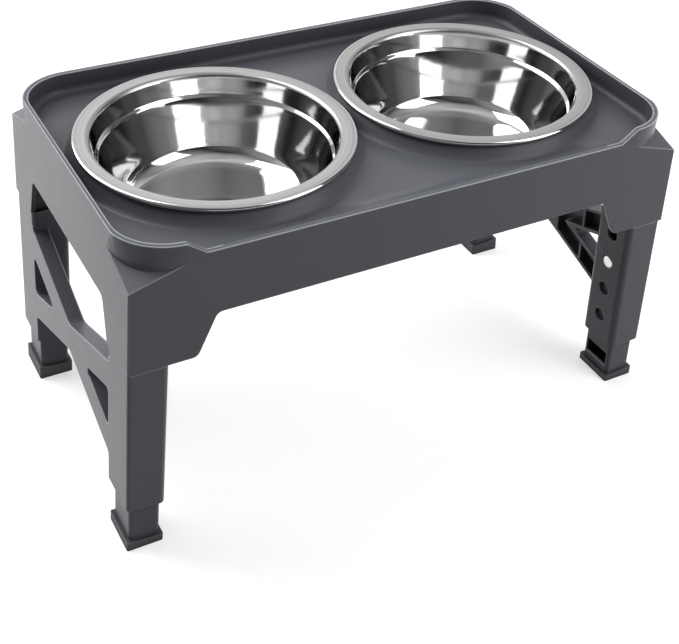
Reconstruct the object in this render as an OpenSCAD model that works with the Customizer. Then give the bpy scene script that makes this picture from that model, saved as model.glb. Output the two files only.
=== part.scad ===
// Raised two-bowl dog feeder stand.
// A moulded tray carries two steel bowls. Two end leg frames fold in under the tray,
// and each of the four posts holds a sliding foot that a sprung button locks in one of its holes.
// Millimetres. X is the width, -Y the front and +Z up. The origin is on the floor under the middle.

/* [Tray] */
// Distance from the bowls' rims to the tips of the tray's corner facets, along the width
end_margin = 12; // [8:0.5:30]
// Distance from the bowls' rims to the tray's front and back
side_margin = 24; // [20:0.5:40]
// Outward lean of the ends and legs, in degrees
end_slope = 4.4; // [1:0.2:7]
// Thickness of the moulded walls
wall = 3; // [2:0.1:4]
// Height of the corners from the leg seam to the facet tips
corner_h = 64; // [58:1:72]
// How far the corners hang below the lower edge between them
drop_h = 32; // [30:0.5:35]
// Width of a corner along the front, at the seam
drop_w = 48.5; // [46:0.5:52]
// How much wider a corner gets towards the top, along the front
drop_flare = 15; // [10:0.5:20]
// How much wider a corner gets towards the top, along the end
end_drop_flare = 9; // [4:0.5:14]
// Rounding of the corners' lower ends
drop_r = 6; // [4:0.5:8]
// Rise of the corner facets from their tips
facet_rise = 12; // [8:0.5:15]
// Radius of the rim's corners, seen from above
rim_r = 40; // [34:0.5:44]
// Thickness of the rim
rim_t = 3; // [2:0.1:4]
// Height of the rim above the facets' upper edges
rim_h = 14; // [10:0.5:20]
// Height of the low front lip above the facets' upper edges
lip_h = 4.3; // [3:0.1:6]
// Length of each slope between the lip and the rim
lip_slope = 13; // [10:0.5:18]
// Depth of the deck below the facets' upper edges
deck_drop = 1.5; // [0.5:0.5:3]
// Thickness of the deck
deck_t = 3; // [2:0.1:4]
// Rounding between the deck and the rim
deck_r = 5; // [3:0.5:5.5]
// Width of the hollow slope from the deck up to the front lip
lip_foot = 18; // [10:0.5:18]

/* [Bowls] */
// Outer diameter of a bowl's rim
bowl_d = 200; // [180:1:225]
// Gap between the two bowls' rims
bowl_gap = 6; // [4:0.5:9]
// Depth of a bowl
bowl_depth = 63.5; // [50:0.5:66]
// Thickness of the bowl's steel
bowl_t = 1; // [0.7:0.1:1.2]
// Width of the bowl's flat rim
bowl_rim_w = 10.5; // [8:0.5:12]
// Centre-line radius of the rolled edge
bowl_roll_r = 1.5; // [1.2:0.1:2]
// Height of the wall's upper tier
bowl_tier_h = 16; // [10:1:22]
// Radius of the flat bottom
bowl_base_r = 66.5; // [56:0.5:68]
// Height of the collar that a bowl stands on
collar_h = 12; // [8:0.5:14]
// Width of the collar's flat top
collar_top_w = 2.5; // [2:0.5:3.5]
// Width of the collar's sloping foot
collar_foot_w = 14; // [8:0.5:15]
// Depth of the skirt round a bowl hole, below the deck
skirt_h = 10; // [4:1:16]
// Thickness of the skirt
skirt_t = 2.5; // [2:0.1:3]
// Clearance between a bowl and its hole
bowl_clear = 1.5; // [1.5:0.1:2.5]

/* [Leg frames] */
// Length of the posts along the outer face, from seam to lower end
post_len = 123.4; // [120:0.1:130]
// Size of a post across the stand
post_w = 29; // [28.5:0.1:30]
// Size of a post from front to back
post_d = 38; // [36:0.5:42]
// Wall of the hollow posts
post_wall = 2.5; // [2:0.1:3]
// Rounding of the posts' outer long edges
post_r = 2.5; // [1:0.1:4]
// Rounding of the posts' inner long edges
post_in_r = 5; // [2:0.5:5]
// How far the legs stand in from the tray's faces
leg_inset = 0.8; // [0.5:0.1:1.5]
// Gap at the seam between the tray's corners and the posts
seam_gap = 1.2; // [0.8:0.1:2]
// Height of the middle of the cross brace above the posts' lower ends
brace_mid_h = 66; // [62:0.5:70]
// Rise of each brace arm from the middle to a post
brace_rise = 29.5; // [25:0.5:32]
// Height of a brace arm
brace_arm_h = 23; // [20:0.5:25]
// Depth of the brace across the stand
brace_t = 12; // [9:0.5:14]
// Thickness of the brace's outer skin
brace_skin = 3; // [2:0.1:4]
// Thickness of the brace's edges and ribs
brace_edge = 2.6; // [2:0.1:3.5]
// Rounding at the middle of the brace
brace_mid_r = 14; // [8:0.5:18]
// Rounding of the brace's other corners
brace_r = 4; // [2:0.5:5]

/* [Hinges] */
// Height of the hinge axis above the seam
hinge_up = 33; // [32:0.5:36]
// Distance of the hinge axis from the leg's outer face
hinge_out = 32; // [31:0.5:33]
// Diameter of the hinge pins
pin_d = 6; // [5:0.1:7]
// Running clearance round a pin, on the radius
pin_clear = 0.08; // [0.05:0.01:0.1]
// Fixed clearance round a pin in the tray, on the radius
pin_seat = 0.04; // [0.02:0.01:0.06]
// Radius of the hinge barrels and lugs
barrel_r = 9; // [8:0.5:9.5]
// Thickness of the tray's hinge lugs
lug_t = 4; // [3:0.5:5]
// Thickness of the boss on the inside of the tray wall
boss_t = 3; // [2.5:0.5:4]
// Side clearance of the leg's tongue between boss and lug
tongue_side = 0.5; // [0.3:0.1:1]
// Clearance of the tongue inside the tray's end wall
tongue_gap = 1; // [0.6:0.1:1.5]
// Length of the tongue along the hinge axis
tongue_d = 28; // [24:0.5:29]
// Diameter of a pin's head
pin_head_d = 9.5; // [8:0.5:12]
// Thickness of a pin's head
pin_head_t = 1.5; // [1:0.1:2]

/* [Feet] */
// Length of foot that shows below the posts in the second hole
foot_show = 41; // [40:0.5:50]
// Clearance between a foot and its post on each side
foot_clear = 0.5; // [0.3:0.1:0.8]
// Wall of the hollow feet
foot_wall = 2; // [1.5:0.1:2.5]
// Length of foot above the button's axis
foot_head = 10; // [9:0.5:10.5]
// Height of the window in a foot's inner face
window_h = 14; // [8:0.5:18]
// Width of the strips of wall beside the window
window_side = 1.5; // [1:0.1:4]
// Number of height holes in a post
hole_count = 4; // [2:1:4]
// Distance between height holes
hole_pitch = 28; // [24:0.5:28]
// Distance of the first hole below the seam
hole_first = 16.5; // [16:0.5:18]
// Diameter of the height holes
hole_d = 12; // [11.5:0.1:13]
// Height of the front foot caps
cap_h_front = 8; // [7:0.5:12]
// Height of the rear foot caps
cap_h_rear = 12; // [7:0.5:12]
// Wall of the rubber foot caps
cap_wall = 2.2; // [1.5:0.1:2.4]
// Rubber under the foot's inner edge
cap_sole = 2.9; // [2:0.1:5]
// Clearance between a cap and its foot
cap_clear = 0.1; // [0.05:0.05:0.2]

/* [Buttons] */
// Diameter of a snap button
button_d = 10.4; // [9:0.1:10.8]
// How far a button stands out of the post
button_out = 0.6; // [0.2:0.1:1.5]
// Clearance between a button and the hole in its foot
button_clear = 0.2; // [0.1:0.05:0.4]
// Diameter of the button's flange
button_flange_d = 13.5; // [12.5:0.1:15]
// Thickness of the button's flange
button_flange_t = 1.5; // [1:0.1:2]
// Rounding of the button's end
button_r = 1.2; // [0.5:0.1:2]
// Thickness of the leaf spring
spring_t = 0.8; // [0.5:0.1:1]
// Width of the leaf spring
spring_w = 10; // [8:0.5:12]
// Length of the leaf spring
spring_len = 46; // [40:1:60]
// Gap between the spring and what it bears on
spring_seat = 0.1; // [0.05:0.05:0.2]

/* [Hidden] */
$fn = 96;

// Over-cut that lets a tool pass clean through a face
over = 1;
// Far enough to pass through the whole stand
far = 600;
// Straight pieces in each rounded corner of an outline
arc_steps = 6;

plastic = "#4b4c51";
steel = "#c9c9c7";
pin_steel = "#a9abad";
rubber = "#1f2023";

// The tray is as large as the bowls and the margins round them
bowl_pitch = bowl_d + bowl_gap;
tray_w = 2 * bowl_d + bowl_gap + 2 * end_margin;
tray_d = bowl_d + 2 * side_margin;
lip_w = tray_w - 2 * (rim_r + lip_slope);

lean_s = sin(end_slope);
lean_c = cos(end_slope);
lean_t = tan(end_slope);

// Heights above the floor, with the feet in their second hole
seam_z = foot_show + post_len * lean_c;
drop_top_z = seam_z + drop_h;
tip_z = seam_z + corner_h;
facet_z = tip_z + facet_rise;
deck_z = facet_z - deck_drop;
deck_under_z = deck_z - deck_t;
lip_z = facet_z + lip_h;
rim_z = facet_z + rim_h;
collar_z = deck_z + collar_h;
hinge_z = seam_z + hinge_up;

// Half width of the leaning end faces at a height, and of the leg's outer faces
function end_x(z) = tray_w / 2 + (tip_z - z) * lean_t;
hinge_x = end_x(hinge_z) - (leg_inset + hinge_out) / lean_c;

// Leg sizes, in a frame with its origin on the hinge axis, +X out and +Z up along the posts
post_out = hinge_out;
post_in = hinge_out - post_w;
post_end = (foot_show - hinge_z - hinge_out * lean_s) / lean_c;
function shoulder(x) = -(hinge_up + seam_gap + x * lean_s) / lean_c;
function floor_line(x) = -(hinge_z + x * lean_s) / lean_c;
post_y1 = tray_d / 2 - leg_inset;
post_y0 = post_y1 - post_d;
post_mid_y = (post_y0 + post_y1) / 2;
post_mid_x = (post_in + post_out) / 2;
shoulder_r = 4;
bore_top = shoulder(post_out) - wall;
bore_w = post_w - 2 * post_wall;
bore_d = post_d - 2 * post_wall;
tongue_out = hinge_out + leg_inset - wall - tongue_gap;
tongue_y1 = tray_d / 2 - wall - boss_t - tongue_side;
tongue_y0 = tongue_y1 - tongue_d;
hole_top = shoulder(post_in) - hole_first;
hole_r = hole_d / 2;

// Foot sizes, in the same frame
foot_w = bore_w - 2 * foot_clear;
foot_d = bore_d - 2 * foot_clear;
foot_in = post_mid_x - foot_w / 2;
button_z = hole_top - hole_pitch;
foot_top = button_z + foot_head;
foot_r = 3;
cap_r = 1.5;
foot_end = floor_line(post_in) + cap_sole;
cap_lip = cap_wall + cap_clear;
window_w = foot_d - 2 * (foot_wall + window_side);
window_z = floor_line(post_out) + max(cap_h_front, cap_h_rear) + wall;

// Button sizes, along the leg frame's X
button_tip = post_in - button_out;
button_back = foot_in + foot_wall + spring_seat;

// Corner of a rounded outline: points along the fillet between two edges
function fillet(p0, p1, p2, r) =
  let (
    u = (p0 - p1) / norm(p0 - p1),
    v = (p2 - p1) / norm(p2 - p1),
    half = acos(u * v) / 2,
    centre = p1 + (u + v) / norm(u + v) * r / sin(half),
    a = p1 + u * r / tan(half) - centre,
    b = p1 + v * r / tan(half) - centre,
    start = atan2(a[1], a[0]),
    sweep = (atan2(b[1], b[0]) - start + 540) % 360 - 180
  )
  [for (i = [0 : arc_steps]) centre + r * [cos(start + sweep * i / arc_steps), sin(start + sweep * i / arc_steps)]];

// Outline with each corner rounded by its own radius, where 0 leaves it sharp
function rounded(points, radii) =
  let (n = len(points))
  [for (i = [0 : n - 1])
    each radii[i] == 0 ? [points[i]] : fillet(points[(i + n - 1) % n], points[i], points[(i + 1) % n], radii[i])];

// Outline of a strip of even thickness along an open path
function normal(a, b) = [a[1] - b[1], b[0] - a[0]] / norm(b - a);
function beside(path, d) =
  let (last = len(path) - 1)
  [for (i = [0 : last])
    let (
      n0 = normal(path[max(i - 1, 0)], path[max(i, 1)]),
      n1 = normal(path[min(i, last - 1)], path[min(i + 1, last)])
    )
    path[i] + (n0 + n1) * d / (1 + n0 * n1)];
function reversed(list) = [for (i = [len(list) - 1 : -1 : 0]) list[i]];
function strip(path, t) = concat(beside(path, t / 2), reversed(beside(path, -t / 2)));

module rounded_rect(w, d, r) {
  square([w - 2 * r, d], center = true);
  square([w, d - 2 * r], center = true);
  for (x = [-1, 1], y = [-1, 1]) translate([x * (w / 2 - r), y * (d / 2 - r)]) circle(r);
}

// Front outline pushed through the depth of the stand
module through_y(length) {
  rotate([90, 0, 0]) linear_extrude(height = length, center = true) children();
}

// End outline, in Y and Z, pushed along X from a start
module along_x(start, length) {
  translate([start, 0, 0]) rotate([90, 0, 90]) linear_extrude(height = length) children();
}

// Tray

// Body between the leaning ends, from one height to another and in from its faces
module leaning_block(z0, z1, inset) {
  side = inset / lean_c;
  through_y(tray_d - 2 * inset) polygon([
    [-end_x(z0) + side, z0], [end_x(z0) - side, z0], [end_x(z1) - side, z1], [-end_x(z1) + side, z1]
  ]);
}

// Everything above the four sloping corner facets, lowered by a depth
module above_facets(depth) {
  pitch = atan(facet_rise * sqrt(2) / rim_r);
  for (x = [-1, 1], y = [-1, 1])
    translate([x * tray_w / 2, y * tray_d / 2, tip_z - depth / cos(pitch)])
      rotate([0, 0, atan2(-y, -x)])
        rotate([0, -pitch, 0])
          translate([-tray_w / 2, -tray_d / 2, 0]) cube([tray_w / 2 + rim_r, tray_d, rim_r]);
}

// Outline of the rim, seen from above
module rim_outline(inset) {
  top_side = end_x(facet_z);
  rounded_rect(2 * (top_side - inset), tray_d - 2 * inset, rim_r - inset);
}

// Space above the low front lip, with smooth slopes up to the rim at both ends
module above_lip() {
  low = lip_w / 2;
  high = low + lip_slope;
  soft = lip_slope / 3;
  translate([0, -tray_d / 2, 0])
    through_y(2 * rim_r)
      polygon(rounded(
        [[-high - far / 4, rim_z + over], [-high - far / 4, rim_z], [-high, rim_z], [-low, lip_z],
         [low, lip_z], [high, rim_z], [high + far / 4, rim_z], [high + far / 4, rim_z + over]],
        [0, 0, soft, soft, soft, soft, 0, 0]
      ));
}

// Openings between the corners along the front, back and ends
module between_drops() {
  low_x = end_x(seam_z) - drop_w;
  high_x = low_x - drop_flare;
  low_y = post_y0;
  high_y = low_y - end_drop_flare;
  low_z = seam_z - far / 10;
  through_y(tray_d + 2 * over)
    polygon(rounded(
      [[-far / 3, low_z], [-far / 3, seam_z], [-low_x, seam_z], [-high_x, drop_top_z],
       [high_x, drop_top_z], [low_x, seam_z], [far / 3, seam_z], [far / 3, low_z]],
      [0, 0, drop_r, drop_r, drop_r, drop_r, 0, 0]
    ));
  along_x(-far / 2, far)
    polygon(rounded(
      [[-low_y, seam_z - over], [-low_y, seam_z], [-high_y, drop_top_z],
       [high_y, drop_top_z], [low_y, seam_z], [low_y, seam_z - over]],
      [0, 0, drop_r, drop_r, 0, 0]
    ));
}

// Raised collar and skirt round a bowl hole, turned round the bowl's axis
bowl_neck_r = bowl_d / 2 - bowl_rim_w - bowl_roll_r;
hole_bowl_r = bowl_neck_r + bowl_t + bowl_clear;
collar_r = hole_bowl_r + collar_top_w;
collar_steps = 10;
module collar() {
  slope = [for (i = [0 : collar_steps])
    [collar_r + collar_foot_w * i / collar_steps, deck_z + collar_h * (1 + cos(180 * i / collar_steps)) / 2]];
  rotate_extrude()
    polygon(concat(
      [[hole_bowl_r, deck_under_z - skirt_h], [hole_bowl_r, collar_z]],
      slope,
      [[collar_r + collar_foot_w, deck_under_z], [hole_bowl_r + skirt_t, deck_under_z],
       [hole_bowl_r + skirt_t, deck_under_z - skirt_h]]
    ));
}

// Lug that holds the inner end of a hinge pin, and the boss for its outer end
module hinge_mount() {
  lug_y = tongue_y0 - tongue_side - lug_t;
  lug_h = deck_under_z - hinge_z + over;
  translate([hinge_x, lug_y + lug_t / 2, hinge_z])
    through_y(lug_t) {
      circle(barrel_r);
      translate([-barrel_r, 0]) square([2 * barrel_r, lug_h]);
    }
  translate([hinge_x, tray_d / 2 - wall - boss_t / 2, hinge_z])
    through_y(boss_t) {
      circle(barrel_r);
      translate([-barrel_r, 0]) square([2 * barrel_r, lug_h]);
    }
}

// Stiffening ribs under the deck, between the bowls and from the skirts to the walls
rib_t = 2;
module deck_ribs() {
  rib_h = skirt_h + over;
  reach = tray_d / 2 - wall / 2;
  skirt_side = sqrt(pow(hole_bowl_r + skirt_t / 2, 2) - pow(bowl_pitch / 4, 2));
  translate([-rib_t / 2, -reach, deck_under_z - skirt_h]) cube([rib_t, 2 * reach, rib_h]);
  for (x = [-1, 1], y = [-1, 1])
    translate([x * bowl_pitch * 3 / 4 - rib_t / 2, y > 0 ? skirt_side : -reach, deck_under_z - skirt_h])
      cube([rib_t, reach - skirt_side, rib_h]);
}

// Hollow curve from the deck up to a height, with its end on the deck at a distance
function hollow(w, h) =
  let (r = (w * w + h * h) / (2 * h), sweep = w < r ? asin(w / r) : 90)
  [for (i = [0 : arc_steps]) [w - r * sin(sweep * i / arc_steps), r * (1 - cos(sweep * i / arc_steps))]];

// Rounding between deck and rim, and the hollow slope up to the front lip, on the deck
module deck_edge() {
  inset = rim_t + end_x(facet_z) - end_x(rim_z);
  half_w = end_x(facet_z) - inset;
  half_d = tray_d / 2 - inset;
  corner = rim_r - inset;
  round_off = concat(hollow(deck_r, deck_r), [[-over, deck_r], [-over, -over], [deck_r, -over]]);
  for (x = [0, 1], y = [0, 1]) mirror([x, 0, 0]) mirror([0, y, 0])
    translate([half_w - corner, half_d - corner, 0])
      rotate_extrude(angle = 90) polygon([for (p = round_off) [corner - p[0], p[1]]]);
  for (x = [0, 1]) mirror([x, 0, 0])
    through_y(2 * (half_d - corner)) polygon([for (p = round_off) [half_w - p[0], p[1]]]);
  for (y = [0, 1]) mirror([0, y, 0])
    along_x(corner - half_w, 2 * (half_w - corner)) polygon([for (p = round_off) [half_d - p[0], p[1]]]);

  lip_end = lip_w / 2 - lip_slope;
  lip_rise = lip_h + deck_drop;
  slope = concat(hollow(lip_foot, lip_rise), [[-over, lip_rise + over], [-over, -over], [lip_foot, -over]]);
  along_x(-lip_end, 2 * lip_end) polygon([for (p = slope) [p[0] - half_d, p[1]]]);
  for (x = [0, 1]) mirror([x, 0, 0])
    translate([lip_end, -half_d - over, 0])
      rotate_extrude(angle = 90) polygon([for (p = slope) [p[0] + over, p[1]]]);
}

// Apron, facets and deck, with room for the collars
module shell() {
  difference() {
    leaning_block(seam_z, facet_z, 0);
    above_facets(0);
    difference() {
      leaning_block(seam_z - over, deck_under_z, wall);
      above_facets(wall);
    }
    translate([0, 0, deck_z]) linear_extrude(rim_z) rim_outline(rim_t + end_x(facet_z) - end_x(rim_z));
    between_drops();
    for (x = [-1, 1]) translate([x * bowl_pitch / 2, 0, 0]) cylinder(r = hole_bowl_r + skirt_t / 2, h = far);
  }
}

// Rim with rounded corners, in one plane with the leaning ends, low along the front
module rim() {
  difference() {
    union() {
      intersection() {
        translate([0, 0, tip_z + over]) linear_extrude(rim_z - tip_z - over)
          difference() {
            rim_outline(0);
            rim_outline(rim_t + end_x(facet_z) - end_x(rim_z));
          }
        leaning_block(seam_z, rim_z, 0);
      }
      translate([0, 0, deck_z]) deck_edge();
    }
    above_lip();
  }
}

module tray() {
  color(plastic)
    difference() {
      union() {
        shell();
        rim();
        for (x = [-1, 1]) translate([x * bowl_pitch / 2, 0, 0]) collar();
        deck_ribs();
        for (x = [0, 1], y = [0, 1]) mirror([x, 0, 0]) mirror([0, y, 0]) hinge_mount();
      }
      for (x = [-1, 1], y = [-1, 1]) translate([x * hinge_x, 0, hinge_z])
        rotate([-90 * y, 0, 0]) cylinder(d = pin_d + 2 * pin_seat, h = tray_d / 2 - wall);
    }
}

// Bowls

// Middle line of the steel, from the rolled edge to the centre of the bottom
bowl_top_z = collar_z + spring_seat + 1.5 * bowl_t;
function bowl_path() =
  let (
    roll_x = bowl_d / 2 - bowl_roll_r - bowl_t / 2,
    flat_z = -bowl_t / 2,
    roll = [for (a = [-90 : 15 : 75]) [roll_x, flat_z - bowl_roll_r] + bowl_roll_r * [cos(a), sin(a)]],
    dip = bowl_t / 2,
    ledge = bowl_t * 2,
    tier_r = bowl_neck_r - bowl_t * 3,
    bottom = -bowl_depth + bowl_t / 2,
    wall_line = rounded(
      [[roll_x, flat_z], [bowl_neck_r + bowl_t / 2, flat_z - dip], [tier_r, -bowl_tier_h],
       [tier_r - ledge, -bowl_tier_h - ledge], [bowl_base_r + ledge, bottom], [0, bottom]],
      [0, 3 * bowl_t, ledge, ledge, bowl_depth / 4, 0]
    )
  )
  concat(roll, wall_line);

module bowl(side) {
  color(steel)
    translate([side * bowl_pitch / 2, 0, bowl_top_z]) rotate_extrude() polygon(strip(bowl_path(), bowl_t));
}

// Leg frames, feet and buttons

// Places a right-hand leg piece, or its mirror image on the left
module leg_place(side) {
  mirror([side < 0 ? 1 : 0, 0, 0]) translate([hinge_x, 0, hinge_z]) rotate([0, -end_slope, 0]) children();
}

// The same for a piece of the rear post, or its mirror image at the front
module post_place(side, end) {
  leg_place(side) mirror([0, end < 0 ? 1 : 0, 0]) children();
}

// Outline of a post, with its inner corners rounder than its outer ones
module post_section() {
  translate([(post_in_r - post_r) / 2, 0]) square([post_w - post_in_r - post_r, post_d], center = true);
  square([post_w, post_d - 2 * post_in_r], center = true);
  translate([post_w / 4, 0]) square([post_w / 2, post_d - 2 * post_r], center = true);
  for (y = [-1, 1]) {
    translate([post_in_r - post_w / 2, y * (post_d / 2 - post_in_r)]) circle(post_in_r);
    translate([post_w / 2 - post_r, y * (post_d / 2 - post_r)]) circle(post_r);
  }
}

// Outside of a post, cut level at the seam
module post_block() {
  intersection() {
    translate([post_mid_x, post_mid_y, post_end]) linear_extrude(-post_end) post_section();
    through_y(tray_d)
      polygon(rounded(
        [[post_in, post_end - over], [post_out, post_end - over], [post_out, shoulder(post_out)],
         [post_in, shoulder(post_in)]],
        [0, 0, 0, shoulder_r]
      ));
  }
}

// Tongue that reaches up inside the tray's corner to the hinge barrel
module tongue() {
  root = shoulder(post_out) - wall;
  hold = barrel_r * 0.8;
  translate([0, (tongue_y0 + tongue_y1) / 2, 0])
    through_y(tongue_d) {
      circle(barrel_r);
      polygon([
        [post_in, root], [tongue_out, root], [tongue_out, -barrel_r],
        [hold * cos(60), hold * sin(60)], [-hold, 0], [post_in, -2 * barrel_r]
      ]);
    }
}

// Cross brace of the end frame, seen from the end in Y and height above the posts' lower ends
module brace() {
  y = post_y0;
  lean = brace_rise / y;
  up = brace_arm_h / 2;
  mid = brace_mid_h;
  top = post_len;
  side_y = up / lean;
  hub = side_y / 2;
  edge = brace_edge / cos(atan(lean));
  floor_x = post_out - brace_skin;
  translate([0, 0, post_end])
    difference() {
      along_x(post_out - brace_t, brace_t)
        translate([-post_mid_y, 0]) square([2 * post_mid_y, mid + brace_rise + up + brace_r]);
      along_x(0, post_out + over) {
        polygon(rounded(
          [[-y, top], [-y, mid + brace_rise + up], [0, mid + up], [y, mid + brace_rise + up], [y, top]],
          [0, brace_r, brace_mid_r, brace_r, 0]
        ));
        polygon(rounded(
          [[-y, -over], [-y, mid - brace_rise - up], [0, mid - up], [y, mid - brace_rise - up], [y, -over]],
          [0, brace_r, brace_mid_r, brace_r, 0]
        ));
        for (m = [0, 1]) mirror([m, 0])
          polygon(rounded(
            [[y, mid + brace_rise - up], [side_y, mid], [y, mid - brace_rise + up]],
            [brace_r, brace_r, brace_r]
          ));
      }
      along_x(0, floor_x)
        for (m = [0, 1], way = [-1, 1]) mirror([m, 0])
          for (span = [[hub, (hub + y) / 2 - brace_edge], [(hub + y) / 2, y - brace_edge]])
            polygon([for (p = [[span[0], -1], [span[1], -1], [span[1], 1], [span[0], 1]])
              [p[0], mid + way * lean * p[0] + p[1] * (up - edge)]]);
    }
}

module leg_frame(side) {
  color(plastic)
    leg_place(side)
      difference() {
        union() {
          for (m = [0, 1]) mirror([0, m, 0]) {
            post_block();
            tongue();
          }
          brace();
        }
        for (m = [0, 1]) mirror([0, m, 0]) {
          translate([post_mid_x - bore_w / 2, post_mid_y - bore_d / 2, post_end - over])
            cube([bore_w, bore_d, bore_top - post_end + over]);
          for (i = [0 : hole_count - 1])
            translate([post_in - over, post_mid_y, hole_top - i * hole_pitch])
              rotate([0, 90, 0]) cylinder(r = hole_r, h = post_wall + 2 * over);
        }
        rotate([90, 0, 0]) cylinder(r = pin_d / 2 + pin_clear, h = tray_d, center = true);
      }
}

// Headed hinge pin, from the tray's lug through the leg's barrel into the boss
module hinge_pin(side, end) {
  inner = tongue_y0 - tongue_side - lug_t;
  outer = tray_d / 2 - wall - pin_seat;
  color(pin_steel)
    mirror([side < 0 ? 1 : 0, 0, 0]) mirror([0, end < 0 ? 1 : 0, 0])
      translate([hinge_x, 0, hinge_z]) rotate([-90, 0, 0]) {
        translate([0, 0, inner - pin_head_t]) cylinder(d = pin_d, h = outer - inner + pin_head_t);
        translate([0, 0, inner - pin_head_t - pin_seat]) cylinder(d = pin_head_d, h = pin_head_t);
      }
}

// Hollow sliding foot, open at the top and with a window low in its inner face
module foot(side, end) {
  color(plastic)
    post_place(side, end)
      difference() {
        translate([post_mid_x, post_mid_y, foot_end]) linear_extrude(foot_top - foot_end)
          rounded_rect(foot_w, foot_d, foot_r);
        translate([foot_in + foot_wall, post_mid_y - foot_d / 2 + foot_wall, foot_end + wall])
          cube([foot_w - 2 * foot_wall, foot_d - 2 * foot_wall, foot_top - foot_end]);
        translate([foot_in - over, post_mid_y, button_z])
          rotate([0, 90, 0]) cylinder(d = button_d + 2 * button_clear, h = foot_wall + 2 * over);
        translate([foot_in - over, post_mid_y - window_w / 2, window_z]) cube([foot_wall + 2 * over, window_w, window_h]);
      }
}

// Rubber boot on a foot, cut level on the floor
module foot_cap(side, end) {
  cap_h = end < 0 ? cap_h_front : cap_h_rear;
  cap_low = floor_line(post_out) - over;
  cap_top = floor_line(post_out) + cap_h;
  color(rubber)
    difference() {
      post_place(side, end)
        translate([post_mid_x, post_mid_y, 0])
          difference() {
            translate([0, 0, cap_low]) linear_extrude(cap_top - cap_low)
              rounded_rect(foot_w + 2 * cap_lip, foot_d + 2 * cap_lip, cap_r);
            translate([0, 0, foot_end]) linear_extrude(-foot_end)
              rounded_rect(foot_w + 2 * cap_clear, foot_d + 2 * cap_clear, foot_r + cap_clear);
          }
      translate([-far / 2, -far / 2, -far]) cube(far);
    }
}

// Steel button with a rounded end and a flange that stops it inside the foot
module snap_button(side, end) {
  length = button_back - button_tip;
  r = button_d / 2;
  flange_r = button_flange_d / 2;
  color(steel)
    post_place(side, end)
      translate([button_tip, post_mid_y, button_z]) rotate([0, 90, 0])
        rotate_extrude()
          polygon(rounded(
            [[0, 0], [r, 0], [r, length], [flange_r, length], [flange_r, length + button_flange_t],
             [0, length + button_flange_t]],
            [0, button_r, 0, 0, 0, 0]
          ));
}

// V-shaped leaf spring between the button and the far wall of the foot
module button_spring(side, end) {
  near_x = button_back + button_flange_t + spring_seat + spring_t / 2;
  far_x = foot_in + foot_w - foot_wall - spring_seat - spring_t / 2;
  high = foot_head - wall;
  color(pin_steel)
    post_place(side, end)
      translate([0, post_mid_y, button_z])
        through_y(spring_w)
          polygon(strip(rounded(
            [[near_x, high], [near_x, -high], [far_x, -spring_len], [far_x, high]],
            [0, 2 * spring_t, 2 * spring_t, 0]
          ), spring_t));
}

tray();
bowl(-1);  // bowl_left
bowl(1);  // bowl_right
leg_frame(-1);  // leg_frame_left
leg_frame(1);  // leg_frame_right
hinge_pin(-1, -1);  // hinge_pin_front_left
hinge_pin(1, -1);  // hinge_pin_front_right
hinge_pin(-1, 1);  // hinge_pin_rear_left
hinge_pin(1, 1);  // hinge_pin_rear_right
foot(-1, -1);  // foot_front_left
foot(1, -1);  // foot_front_right
foot(-1, 1);  // foot_rear_left
foot(1, 1);  // foot_rear_right
foot_cap(-1, -1);  // foot_cap_front_left
foot_cap(1, -1);  // foot_cap_front_right
foot_cap(-1, 1);  // foot_cap_rear_left
foot_cap(1, 1);  // foot_cap_rear_right
snap_button(-1, -1);  // snap_button_front_left
snap_button(1, -1);  // snap_button_front_right
snap_button(-1, 1);  // snap_button_rear_left
snap_button(1, 1);  // snap_button_rear_right
button_spring(-1, -1);  // button_spring_front_left
button_spring(1, -1);  // button_spring_front_right
button_spring(-1, 1);  // button_spring_rear_left
button_spring(1, 1);  // button_spring_rear_right
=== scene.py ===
# Dog feeder stand: a moulded grey tray on two folding leg frames, with two steel bowls.
from math import cos, pi, radians, sin

import bmesh
import bpy
from mathutils import Matrix, Vector


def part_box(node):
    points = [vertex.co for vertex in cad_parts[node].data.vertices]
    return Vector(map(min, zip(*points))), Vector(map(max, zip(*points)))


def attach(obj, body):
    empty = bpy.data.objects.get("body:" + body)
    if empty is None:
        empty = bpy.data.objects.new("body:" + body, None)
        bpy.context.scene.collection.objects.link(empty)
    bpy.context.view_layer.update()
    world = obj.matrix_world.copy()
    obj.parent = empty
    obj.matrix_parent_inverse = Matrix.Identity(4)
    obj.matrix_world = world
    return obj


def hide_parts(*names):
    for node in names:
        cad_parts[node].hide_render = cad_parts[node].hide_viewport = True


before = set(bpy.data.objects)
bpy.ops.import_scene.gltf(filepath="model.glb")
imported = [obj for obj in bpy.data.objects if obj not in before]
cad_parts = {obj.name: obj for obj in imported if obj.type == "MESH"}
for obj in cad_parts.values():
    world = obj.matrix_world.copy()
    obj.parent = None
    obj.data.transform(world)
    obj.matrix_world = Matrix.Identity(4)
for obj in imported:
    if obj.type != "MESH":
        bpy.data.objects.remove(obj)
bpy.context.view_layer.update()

MM = 0.001
scene = bpy.context.scene
scene.view_settings.view_transform = "Standard"
SIDES = ("left", "right")
CORNERS = ("front_left", "front_right", "rear_left", "rear_right")


def linear(hex_colour):
    """An sRGB hex colour as linear red, green, blue and alpha."""
    parts = [int(hex_colour[i:i + 2], 16) / 255 for i in (1, 3, 5)]
    return [c / 12.92 if c <= 0.04045 else ((c + 0.055) / 1.055) ** 2.4 for c in parts] + [1.0]


def add(tree, kind, inputs=None, **settings):
    """Adds one node with its settings. An input is given a value, or a socket to link from."""
    made = tree.nodes.new(kind)
    for name, value in settings.items():
        setattr(made, name, value)
    for key, value in (inputs or {}).items():
        if isinstance(value, bpy.types.NodeSocket):
            tree.links.new(value, made.inputs[key])
        else:
            made.inputs[key].default_value = value
    return made


def per_mm(size):
    """The texture scale at which a pattern repeats about every size millimetres."""
    return 1 / (size * MM)


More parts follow.
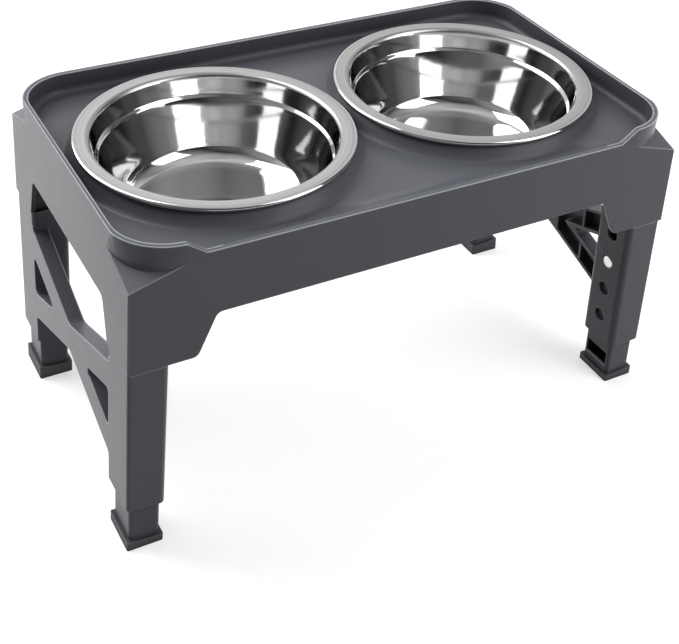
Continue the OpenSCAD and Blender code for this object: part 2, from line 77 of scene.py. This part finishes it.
def new_material(name):
    """An empty material: its tree, its output's surface socket and its Object coordinates."""
    made = bpy.data.materials.new(name)
    made.use_nodes = True
    tree = made.node_tree
    tree.nodes.clear()
    out = add(tree, "ShaderNodeOutputMaterial")
    where = add(tree, "ShaderNodeTexCoord")
    return made, tree, out.inputs["Surface"], where.outputs["Object"]


# ---------------------------------------------------------------- finishes


def edge_highlight_mask(tree, normal):
    """How much painted highlight an edge gets, from 0 to 1: upper edges most, upright ones a
    little and lower ones not at all, as if lit from above. Looking inwards, only an outer edge has
    another face this near."""
    near = add(tree, "ShaderNodeAmbientOcclusion", {"Distance": 1.4 * MM},
               inside=True, only_local=True, samples=8)
    edge = add(tree, "ShaderNodeMapRange",
               {"Value": near.outputs["AO"], 1: 0.90, 2: 0.55, 3: 0.0, 4: 1.0})
    facing = add(tree, "ShaderNodeSeparateXYZ", {"Vector": normal})
    # Painted highlight: up-facing edges get the most, as if lit from above.
    upper = add(tree, "ShaderNodeMapRange",
                {"Value": facing.outputs["Z"], 1: -0.2, 2: 0.7, 3: 0.0, 4: 0.95})
    highlight_mask = add(tree, "ShaderNodeMath", {0: edge.outputs[0], 1: upper.outputs[0]},
              operation="MULTIPLY")
    return highlight_mask.outputs[0]


def moulded_polypropylene():
    """Injection-moulded grey polypropylene. The mould is spark-eroded, which gives a fine even
    satin; the colour varies a little with the flow, and handling leaves soft smears in the gloss.
    The edges, rounded by about 1 mm in the mould, get a painted highlight, and the colour gets
    painted shade where other surfaces are near."""
    made, tree, surface, where = new_material("moulded_polypropylene")
    flow = add(tree, "ShaderNodeTexNoise",
               {"Vector": where, "Scale": per_mm(90), "Detail": 3.0, "Roughness": 0.55})
    tone = add(tree, "ShaderNodeMix",
               {0: flow.outputs["Fac"], 6: linear("#53555b"), 7: linear("#595b61")},
               data_type="RGBA")
    # Painted shade: the colour is darkened where other surfaces are near, in corners, under the
    # bowls' rims and near the floor; there the gloss is also made duller.
    shade_occlusion = add(tree, "ShaderNodeAmbientOcclusion", {"Distance": 100 * MM}, samples=8)
    shade_and_dullness = add(tree, "ShaderNodeMapRange",
                 {"Value": shade_occlusion.outputs["AO"], 1: 0.82, 2: 0.25, 3: 0.0, 4: 0.65})
    painted_shade_tone = add(tree, "ShaderNodeMix",
                {0: shade_and_dullness.outputs[0], 6: tone.outputs[2], 7: linear("#1e1f23")}, data_type="RGBA")
    round_edge = add(tree, "ShaderNodeBevel", {"Radius": 1.2 * MM}, samples=6)
    highlight_mask = edge_highlight_mask(tree, round_edge.outputs["Normal"])
    # Painted highlight: the edges are mixed towards a pale grey, most where they face up.
    with_painted_light = add(tree, "ShaderNodeMix",
               {0: highlight_mask, 6: painted_shade_tone.outputs[2], 7: linear("#c4c6cc")}, data_type="RGBA")
    smears = add(tree, "ShaderNodeTexNoise",
                 {"Vector": where, "Scale": per_mm(28), "Detail": 4.0, "Roughness": 0.6,
                  "Distortion": 0.4})
    rough = add(tree, "ShaderNodeMapRange",
                {"Value": smears.outputs["Fac"], 1: 0.3, 2: 0.7, 3: 0.24, 4: 0.28})
    dull = add(tree, "ShaderNodeMath", {0: shade_and_dullness.outputs[0], 1: 0.35, 2: rough.outputs[0]},
               operation="MULTIPLY_ADD")
    # The real texture is about 0.1 mm; it is drawn at 0.7 mm so that it shows.
    pits = add(tree, "ShaderNodeTexNoise",
               {"Vector": where, "Scale": per_mm(0.7), "Detail": 2.0, "Roughness": 0.5})
    bump = add(tree, "ShaderNodeBump",
               {"Height": pits.outputs["Fac"], "Strength": 0.10, "Distance": 0.08 * MM,
                "Normal": round_edge.outputs["Normal"]})
    skin = add(tree, "ShaderNodeBsdfPrincipled",
               {"Base Color": with_painted_light.outputs[2], "Roughness": dull.outputs[0], "IOR": 1.49,
                "Specular IOR Level": 0.18, "Normal": bump.outputs["Normal"]})
    tree.links.new(skin.outputs["BSDF"], surface)
    return made


def moulded_rubber():
    """Moulded thermoplastic rubber: darker and duller than the feet, with a dry, slightly speckled
    skin, a paler painted highlight on its upper edges and scuffs where it meets the floor."""
    made, tree, surface, where = new_material("moulded_rubber")
    speck = add(tree, "ShaderNodeTexNoise",
                {"Vector": where, "Scale": per_mm(3), "Detail": 4.0, "Roughness": 0.65})
    tone = add(tree, "ShaderNodeMix",
               {0: speck.outputs["Fac"], 6: linear("#232428"), 7: linear("#303136")},
               data_type="RGBA")
    round_edge = add(tree, "ShaderNodeBevel", {"Radius": 1.0 * MM}, samples=6)
    highlight_mask = edge_highlight_mask(tree, round_edge.outputs["Normal"])
    # Painted highlight: the edges are mixed towards a paler grey, most where they face up.
    with_painted_light = add(tree, "ShaderNodeMix",
               {0: highlight_mask, 6: tone.outputs[2], 7: linear("#54565b")}, data_type="RGBA")
    height = add(tree, "ShaderNodeSeparateXYZ", {"Vector": where})
    scuff = add(tree, "ShaderNodeMapRange",
                {"Value": height.outputs["Z"], 1: 0.0, 2: 6 * MM, 3: 0.72, 4: 0.52})
    bump = add(tree, "ShaderNodeBump",
               {"Height": speck.outputs["Fac"], "Strength": 0.2, "Distance": 0.1 * MM,
                "Normal": round_edge.outputs["Normal"]})
    skin = add(tree, "ShaderNodeBsdfPrincipled",
               {"Base Color": with_painted_light.outputs[2], "Roughness": scuff.outputs[0], "IOR": 1.5,
                "Normal": bump.outputs["Normal"]})
    tree.links.new(skin.outputs["BSDF"], surface)
    return made


def spun_stainless(name, pale, dark, gloss, line_mm, line_depth, wave_depth):
    """Stainless steel pressed and finished on a spindle: lines run round the bowl, and polished
    sheet keeps a slight waviness that bends what it mirrors."""
    made, tree, surface, where = new_material(name)
    along = add(tree, "ShaderNodeAttribute", attribute_name="along", attribute_type="GEOMETRY")
    lines = add(tree, "ShaderNodeTexNoise",
                {"W": along.outputs["Fac"], "Scale": per_mm(line_mm), "Detail": 3.0,
                 "Roughness": 0.7}, noise_dimensions="1D")
    patches = add(tree, "ShaderNodeTexNoise",
                  {"Vector": where, "Scale": per_mm(22), "Detail": 2.0, "Roughness": 0.5})
    tone = add(tree, "ShaderNodeMix",
               {0: lines.outputs["Fac"], 6: linear(dark), 7: linear(pale)}, data_type="RGBA")
    rough = add(tree, "ShaderNodeMapRange",
                {"Value": patches.outputs["Fac"], 1: 0.3, 2: 0.7, 3: gloss * 0.85, 4: gloss * 1.2})
    ridges = add(tree, "ShaderNodeBump",
                 {"Height": lines.outputs["Fac"], "Strength": line_depth, "Distance": 0.05 * MM})
    waves = add(tree, "ShaderNodeBump",
                {"Height": patches.outputs["Fac"], "Strength": wave_depth, "Distance": 0.6 * MM,
                 "Normal": ridges.outputs["Normal"]})
    skin = add(tree, "ShaderNodeBsdfPrincipled",
               {"Base Color": tone.outputs[2], "Metallic": 1.0, "Roughness": rough.outputs[0],
                "Normal": waves.outputs["Normal"]})
    tree.links.new(skin.outputs["BSDF"], surface)
    return made


def plain_steel(name, dark, pale, gloss):
    """Drawn or stamped steel with a bright zinc skin: small cloudy spangles and fine scratches."""
    made, tree, surface, where = new_material(name)
    spangle = add(tree, "ShaderNodeTexVoronoi", {"Vector": where, "Scale": per_mm(1.6)})
    tone = add(tree, "ShaderNodeMix",
               {0: spangle.outputs["Distance"], 6: linear(dark), 7: linear(pale)},
               data_type="RGBA")
    scratches = add(tree, "ShaderNodeTexNoise",
                    {"Vector": where, "Scale": per_mm(0.8), "Detail": 3.0, "Roughness": 0.6})
    rough = add(tree, "ShaderNodeMapRange",
                {"Value": scratches.outputs["Fac"], 1: 0.3, 2: 0.7, 3: gloss - 0.06,
                 4: gloss + 0.08})
    bump = add(tree, "ShaderNodeBump",
               {"Height": scratches.outputs["Fac"], "Strength": 0.1, "Distance": 0.05 * MM})
    skin = add(tree, "ShaderNodeBsdfPrincipled",
               {"Base Color": tone.outputs[2], "Metallic": 1.0, "Roughness": rough.outputs[0],
                "Normal": bump.outputs["Normal"]})
    tree.links.new(skin.outputs["BSDF"], surface)
    return made


plastic = moulded_polypropylene()
rubber = moulded_rubber()
polished_steel = spun_stainless("polished_stainless", "#d0d0d0", "#bcbcbc", 0.07, 0.6, 0.05, 0.12)
satin_steel = spun_stainless("satin_stainless", "#c8c8c8", "#888888", 0.30, 2.5, 0.25, 0.0)
button_steel = plain_steel("zinc_plated_button", "#d5d6d6", "#f0f0ef", 0.34)
pin_steel = plain_steel("drawn_steel_pin", "#8d8f92", "#b4b5b7", 0.36)


# ---------------------------------------------------------------- moulded pieces

WELD = 0.002 * MM         # points nearer than this are one
CREASE = radians(28)      # faces that turn by more than this meet in a sharp edge
FLAT_FACES_FIRST = 60     # above 50, the shading follows the large faces more
FACET_TIP = Vector((215, 124, 228.036)) * MM
FACET_SLOPE = 0.3         # rise of a corner facet, along the width and along the depth
# Where a hinge lug's upper corner comes through the facet above it.
LUG_TOP_FROM = Vector((189, 118.5, 236.5)) * MM
LUG_TOP_TO = Vector((194, 121.5, 236.6)) * MM


def plain_mesh(piece):
    """Turns a piece with modifiers into a plain mesh."""
    bpy.context.view_layer.update()
    shown = piece.evaluated_get(bpy.context.evaluated_depsgraph_get())
    made = bpy.data.meshes.new_from_object(shown)
    piece.modifiers.clear()
    piece.data = made


def lay_flush(work):
    """Lays the hinge lugs' upper corners, 1 mm proud in the solid, flush with the facets."""
    for point in work.verts:
        x, y, z = abs(point.co.x), abs(point.co.y), point.co.z
        if all(a < c < b for a, c, b in zip(LUG_TOP_FROM, (x, y, z), LUG_TOP_TO)):
            facet = FACET_TIP.z + FACET_SLOPE * (FACET_TIP.x - x + FACET_TIP.y - y)
            point.co.z = min(z, facet)


def loose_walls(work):
    """The faces with a free edge and an edge that three faces share."""
    return [face for face in work.faces
            if any(len(edge.link_faces) == 1 for edge in face.edges)
            and any(len(edge.link_faces) > 2 for edge in face.edges)]


def smooth_copy(node, body, finish, mend=None):
    """A merged copy of a CAD node, mended and smooth over its curves, that stands for it."""
    mesh = bpy.data.meshes.new(node + "_moulded")
    work = bmesh.new()
    work.from_mesh(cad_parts[node].data)
    if mend:
        mend(work)
    bmesh.ops.remove_doubles(work, verts=work.verts, dist=WELD)
    bmesh.ops.dissolve_degenerate(work, dist=WELD, edges=work.edges)
    # Merging can leave a thin wall inside the tray, where two of its rounded strips meet.
    while loose := loose_walls(work):
        bmesh.ops.delete(work, geom=loose, context="FACES")
    for face in work.faces:
        face.smooth = True
        face.material_index = 0
    work.to_mesh(mesh)
    work.free()
    if "custom_normal" in mesh.attributes:
        mesh.attributes.remove(mesh.attributes["custom_normal"])
    mesh.materials.clear()
    mesh.materials.append(finish)
    mesh.set_sharp_from_angle(angle=CREASE)
    piece = bpy.data.objects.new(node + "_moulded", mesh)
    scene.collection.objects.link(piece)
    shading = piece.modifiers.new("flat_faces_stay_flat", "WEIGHTED_NORMAL")
    shading.weight = FLAT_FACES_FIRST
    shading.keep_sharp = True
    plain_mesh(piece)
    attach(piece, body)
    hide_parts(node)


smooth_copy("tray", "tray", plastic, lay_flush)
for side in SIDES:
    smooth_copy("leg_frame_" + side, "leg_" + side, plastic)
for shade_and_dullness in CORNERS:
    foot = "foot_" + shade_and_dullness
    smooth_copy(foot, foot, plastic)
    smooth_copy("foot_cap_" + shade_and_dullness, foot, rubber)
    smooth_copy("snap_button_" + shade_and_dullness, "button_" + shade_and_dullness, button_steel)
    smooth_copy("button_spring_" + shade_and_dullness, foot, pin_steel)
    smooth_copy("hinge_pin_" + shade_and_dullness, "tray", pin_steel)


# ---------------------------------------------------------------- bowls

BOWL_AXIS = 103 * MM      # each bowl's distance from the middle
STEEL = 1.0               # sheet thickness, mm
# The middle of the sheet from the bottom's centre to the rolled edge: radius, height below the
# rim and corner radius, in mm.
SHEET = [(0, -63.0, 0), (68.5, -63.0, 15.9), (83, -18, 2), (85, -16, 2), (88.5, -1.0, 3),
         (98, -0.5, 0)]
ROLL = (98, -2.0, 1.5)    # the rolled edge's centre and radius, mm
SATIN = (87.6, 97.5)      # the rim's satin band, from and to these radii, mm
TURNS = 192               # faces round a bowl
LONGEST_STEP = 3.0        # along the section, mm
FINEST_TURN = radians(6)  # along a rounded corner
ROLL_STEP = 12            # along the rolled edge, degrees
ROLL_END = -102           # where the edge's roll stops, degrees from straight out


def filleted(corners):
    """The corners as one smooth line of points, with each corner rounded by its radius."""
    line = [Vector(corners[0][:2])]
    for before, here, after in zip(corners, corners[1:], corners[2:]):
        p, radius = Vector(here[:2]), here[2]
        a, b = (Vector(before[:2]) - p).normalized(), (Vector(after[:2]) - p).normalized()
        half = a.angle(b) / 2
        back = radius * cos(half) / sin(half)
        middle = p + (a + b).normalized() * (radius / sin(half))
        start, end = p + a * back - middle, p + b * back - middle
        turn = start.angle_signed(end)
        steps = max(4, int(abs(turn) / FINEST_TURN))
        for i in range(steps + 1):
            line.append(middle + Matrix.Rotation(-turn * i / steps, 2) @ start)
    line.append(Vector(corners[-1][:2]))
    return line


def evenly(line, longest):
    """The line with more points, so that no step is longer than this."""
    made = [line[0]]
    for a, b in zip(line, line[1:]):
        steps = max(1, int((b - a).length / longest + 0.999))
        made += [a.lerp(b, i / steps) for i in range(1, steps + 1)]
    return made


def bowl_section():
    """The outline of the cut sheet, from the inside's centre over the rim to the outside's."""
    middle = evenly(filleted(SHEET), LONGEST_STEP)
    x, z, r = ROLL
    middle += [Vector((x + r * cos(radians(a)), z + r * sin(radians(a))))
               for a in range(90 - ROLL_STEP, ROLL_END - 1, -ROLL_STEP)]
    inner, outer = [], []
    for i, p in enumerate(middle):
        way = (middle[min(i + 1, len(middle) - 1)] - middle[max(i - 1, 0)]).normalized()
        side = Vector((-way.y, way.x)) * STEEL / 2
        inner.append(p + side)
        outer.append(p - side)
    inner[0].x = outer[0].x = 0
    return inner + outer[::-1]


def spun_shape_tree():
    """Turns an outline in the XZ plane round an upright axis, and brushes part of its length."""
    tree = bpy.data.node_groups.new("spun_shape", "GeometryNodeTree")
    sockets = (("Outline", "NodeSocketGeometry"), ("Turns", "NodeSocketInt"),
               ("Axis", "NodeSocketVector"), ("Brushed From", "NodeSocketFloat"),
               ("Brushed To", "NodeSocketFloat"), ("Finish", "NodeSocketMaterial"),
               ("Brushed", "NodeSocketMaterial"))
    for name, kind in sockets:
        tree.interface.new_socket(name, in_out="INPUT", socket_type=kind)
    tree.interface.new_socket("Geometry", in_out="OUTPUT", socket_type="NodeSocketGeometry")
    given = add(tree, "NodeGroupInput").outputs
    size = add(tree, "GeometryNodeAttributeDomainSize", {"Geometry": given["Outline"]})
    count = size.outputs["Point Count"]
    columns = add(tree, "ShaderNodeMath", {0: given["Turns"], 1: 1.0}, operation="ADD")
    grid = add(tree, "GeometryNodeMeshGrid",
               {"Vertices X": columns.outputs[0], "Vertices Y": count})
    index = add(tree, "GeometryNodeInputIndex")
    share = add(tree, "ShaderNodeMath", {0: index.outputs[0], 1: count}, operation="DIVIDE")
    column = add(tree, "ShaderNodeMath", {0: share.outputs[0]}, operation="FLOOR")
    row = add(tree, "ShaderNodeMath", {0: index.outputs[0], 1: count}, operation="FLOORED_MODULO")
    place = add(tree, "GeometryNodeInputPosition")
    point = add(tree, "GeometryNodeSampleIndex",
                {"Geometry": given["Outline"], "Value": place.outputs[0], "Index": row.outputs[0]},
                data_type="FLOAT_VECTOR", domain="POINT")
    run = add(tree, "GeometryNodeInputNamedAttribute", {"Name": "along"}, data_type="FLOAT")
    reach = add(tree, "GeometryNodeSampleIndex",
                {"Geometry": given["Outline"], "Value": run.outputs["Attribute"],
                 "Index": row.outputs[0]}, data_type="FLOAT", domain="POINT")
    turn = add(tree, "ShaderNodeMath", {0: column.outputs[0], 1: given["Turns"]},
               operation="DIVIDE")
    angle = add(tree, "ShaderNodeMath", {0: turn.outputs[0], 1: 2 * pi}, operation="MULTIPLY")
    spun = add(tree, "ShaderNodeVectorRotate",
               {"Vector": point.outputs[0], "Angle": angle.outputs[0]}, rotation_type="Z_AXIS")
    moved = add(tree, "ShaderNodeVectorMath", {0: spun.outputs[0], 1: given["Axis"]},
                operation="ADD")
    shape = add(tree, "GeometryNodeSetPosition",
                {"Geometry": grid.outputs["Mesh"], "Position": moved.outputs[0]})
    marked = add(tree, "GeometryNodeStoreNamedAttribute",
                 {"Geometry": shape.outputs[0], "Name": "along", "Value": reach.outputs[0]},
                 data_type="FLOAT", domain="POINT")
    closed = add(tree, "GeometryNodeMergeByDistance",
                 {"Geometry": marked.outputs[0], "Distance": 0.001 * MM})
    smooth = add(tree, "GeometryNodeSetShadeSmooth", {"Geometry": closed.outputs[0]})
    real = add(tree, "GeometryNodeRealizeInstances", {"Geometry": smooth.outputs[0]})
    plain = add(tree, "GeometryNodeSetMaterial",
                {"Geometry": real.outputs[0], "Material": given["Finish"]})
    past = add(tree, "ShaderNodeMath", {0: run.outputs["Attribute"], 1: given["Brushed From"]},
               operation="GREATER_THAN")
    short = add(tree, "ShaderNodeMath", {0: run.outputs["Attribute"], 1: given["Brushed To"]},
                operation="LESS_THAN")
    inside = add(tree, "ShaderNodeMath", {0: past.outputs[0], 1: short.outputs[0]},
                 operation="MULTIPLY")
    brushed = add(tree, "GeometryNodeSetMaterial",
                  {"Geometry": plain.outputs[0], "Selection": inside.outputs[0],
                   "Material": given["Brushed"]})
    add(tree, "NodeGroupOutput", {"Geometry": brushed.outputs[0]})
    return tree


spun_shape = spun_shape_tree()
section = bowl_section()
runs = [0.0]
for a, b in zip(section, section[1:]):
    runs.append(runs[-1] + (b - a).length * MM)
satin_from, satin_to = (next(run for point, run in zip(section, runs) if point.x > radius)
                        for radius in SATIN)

for side, way in (("left", -1), ("right", 1)):
    node = "bowl_" + side
    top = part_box(node)[1].z
    outline = bpy.data.meshes.new(node + "_outline")
    outline.from_pydata([(p.x * MM, 0, p.y * MM) for p in section],
                        [(i, i + 1) for i in range(len(section) - 1)], [])
    outline.attributes.new("along", "FLOAT", "POINT").data.foreach_set("value", runs)
    piece = bpy.data.objects.new(node + "_spun", outline)
    scene.collection.objects.link(piece)
    spin = piece.modifiers.new("spun", "NODES")
    spin.node_group = spun_shape
    wanted = {"Turns": TURNS, "Axis": (way * BOWL_AXIS, 0, top), "Brushed From": satin_from,
              "Brushed To": satin_to, "Finish": polished_steel, "Brushed": satin_steel}
    for socket in spun_shape.interface.items_tree:
        if socket.name in wanted:
            spin[socket.identifier] = wanted[socket.name]
    plain_mesh(piece)
    work = bmesh.new()
    work.from_mesh(piece.data)
    bmesh.ops.recalc_face_normals(work, faces=work.faces)
    work.to_mesh(piece.data)
    work.free()
    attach(piece, node)
    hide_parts(node)


# ---------------------------------------------------------------- floor, light and camera

FLOOR = 12                # from the middle to the floor's edges, m
# The room: white at the horizon, and dim walls and ceiling with soft pale patches on them. Each
# patch has degrees clockwise from straight behind, degrees up and brightness.
PATCHES = [(0, 20, 0.9), (45, 20, 0.8), (225, 20, 0.12), (270, 20, 0.3), (315, 20, 0.6),
           (0, 55, 0.4), (72, 55, 0.3), (144, 55, 0.3), (288, 55, 0.2), (0, 90, 0.42)]
PATCH_EDGE, PATCH_FULL = 0.81, 0.98     # cosines of the angles from a patch's middle
STAND_MIDDLE = (0, 0, 0.24)             # where the lamps aim, m
# The camera of the photograph.
FRAME_WIDTH = 679         # pixels
FOCAL_LENGTH = 1173.829   # pixels
SENSOR = 36.0             # mm
EYE = Vector((-385.888, -673.843, 662.539)) * MM
YAW, PITCH, ROLL_ANGLE = radians(30.1795), radians(-38.4425), radians(3.2551)


def studio_floor():
    """A pale plain floor that keeps the shadow. To the camera and in reflections it is lit white;
    the light that it throws back up is that of a grey floor, so the undersides stay dark."""
    made, tree, surface, _ = new_material("studio_floor")
    ray = add(tree, "ShaderNodeLightPath")
    seen = add(tree, "ShaderNodeMath",
               {0: ray.outputs["Is Camera Ray"], 1: ray.outputs["Is Glossy Ray"]},
               operation="MAXIMUM")
    shown = add(tree, "ShaderNodeMath",
                {0: seen.outputs[0], 1: ray.outputs["Is Transmission Ray"]}, operation="MAXIMUM")
    grey = add(tree, "ShaderNodeBsdfDiffuse", {"Color": linear("#585858")})
    white = add(tree, "ShaderNodeBsdfDiffuse", {"Color": linear("#d8d8d8")})
    lit = add(tree, "ShaderNodeEmission", {"Color": linear("#ffffff"), "Strength": 0.5})
    pale = add(tree, "ShaderNodeAddShader", {0: white.outputs[0], 1: lit.outputs[0]})
    sheet = add(tree, "ShaderNodeMixShader",
                {0: shown.outputs[0], 1: grey.outputs[0], 2: pale.outputs[0]})
    tree.links.new(sheet.outputs[0], surface)
    return made


floor_mesh = bpy.data.meshes.new("floor")
floor_mesh.from_pydata([(-FLOOR, -FLOOR, 0), (FLOOR, -FLOOR, 0), (FLOOR, FLOOR, 0),
                        (-FLOOR, FLOOR, 0)], [], [(0, 1, 2, 3)])
floor_mesh.materials.append(studio_floor())
floor = bpy.data.objects.new("floor", floor_mesh)
scene.collection.objects.link(floor)

world = bpy.data.worlds.new("studio")
scene.world = world
world.use_nodes = True
room = world.node_tree
room.nodes.clear()
way = add(room, "ShaderNodeTexCoord").outputs["Generated"]
rise = add(room, "ShaderNodeSeparateXYZ", {"Vector": way})
horizon = add(room, "ShaderNodeMapRange",
              {"Value": rise.outputs["Z"], 1: 0.02, 2: 0.10, 3: 1.0, 4: 0.04})
light = horizon.outputs[0]
for turn, up, brightness in PATCHES:
    turn, up = radians(turn), radians(up)
    aim = (sin(turn) * cos(up), cos(turn) * cos(up), sin(up))
    near = add(room, "ShaderNodeVectorMath", {0: way, 1: aim}, operation="DOT_PRODUCT")
    patch = add(room, "ShaderNodeMapRange",
                {"Value": near.outputs["Value"], 1: PATCH_EDGE, 2: PATCH_FULL, 3: 0.0,
                 4: brightness})
    both = add(room, "ShaderNodeMath", {0: light, 1: patch.outputs[0]}, operation="ADD")
    light = both.outputs[0]
glow = add(room, "ShaderNodeBackground", {"Color": linear("#ffffff"), "Strength": light})
end = add(room, "ShaderNodeOutputWorld")
room.links.new(glow.outputs[0], end.inputs["Surface"])


def softbox(name, place, width, height, brightness):
    """A lit panel that faces the stand. Brightness 1 mirrors as white."""
    lamp = bpy.data.lights.new(name, "AREA")
    lamp.shape = "RECTANGLE"
    lamp.size, lamp.size_y = width, height
    lamp.energy = brightness * width * height * pi
    panel = bpy.data.objects.new(name, lamp)
    panel.location = place
    towards = Vector(STAND_MIDDLE) - Vector(place)
    panel.rotation_euler = towards.to_track_quat("-Z", "Y").to_euler()
    panel.visible_camera = False
    scene.collection.objects.link(panel)


softbox("back_left_panel", (-0.87, 1.24, 1.55), 1.5, 1.95, 4.3)
softbox("right_front_panel", (0.73, -0.84, 0.91), 0.82, 1.45, 3.2)

camera_data = bpy.data.cameras.new("camera")
camera_data.sensor_fit = "HORIZONTAL"
camera_data.sensor_width = SENSOR
camera_data.lens = SENSOR * FOCAL_LENGTH / FRAME_WIDTH
camera = bpy.data.objects.new("camera", camera_data)
scene.collection.objects.link(camera)
ahead = Vector((sin(YAW) * cos(PITCH), cos(YAW) * cos(PITCH), sin(PITCH)))
level = Vector((cos(YAW), -sin(YAW), 0))
upward = level.cross(ahead)
across = level * cos(ROLL_ANGLE) + upward * sin(ROLL_ANGLE)
upright = upward * cos(ROLL_ANGLE) - level * sin(ROLL_ANGLE)
turned = Matrix((across, upright, -ahead)).transposed().to_4x4()
camera.matrix_world = Matrix.Translation(EYE) @ turned
scene.camera = camera
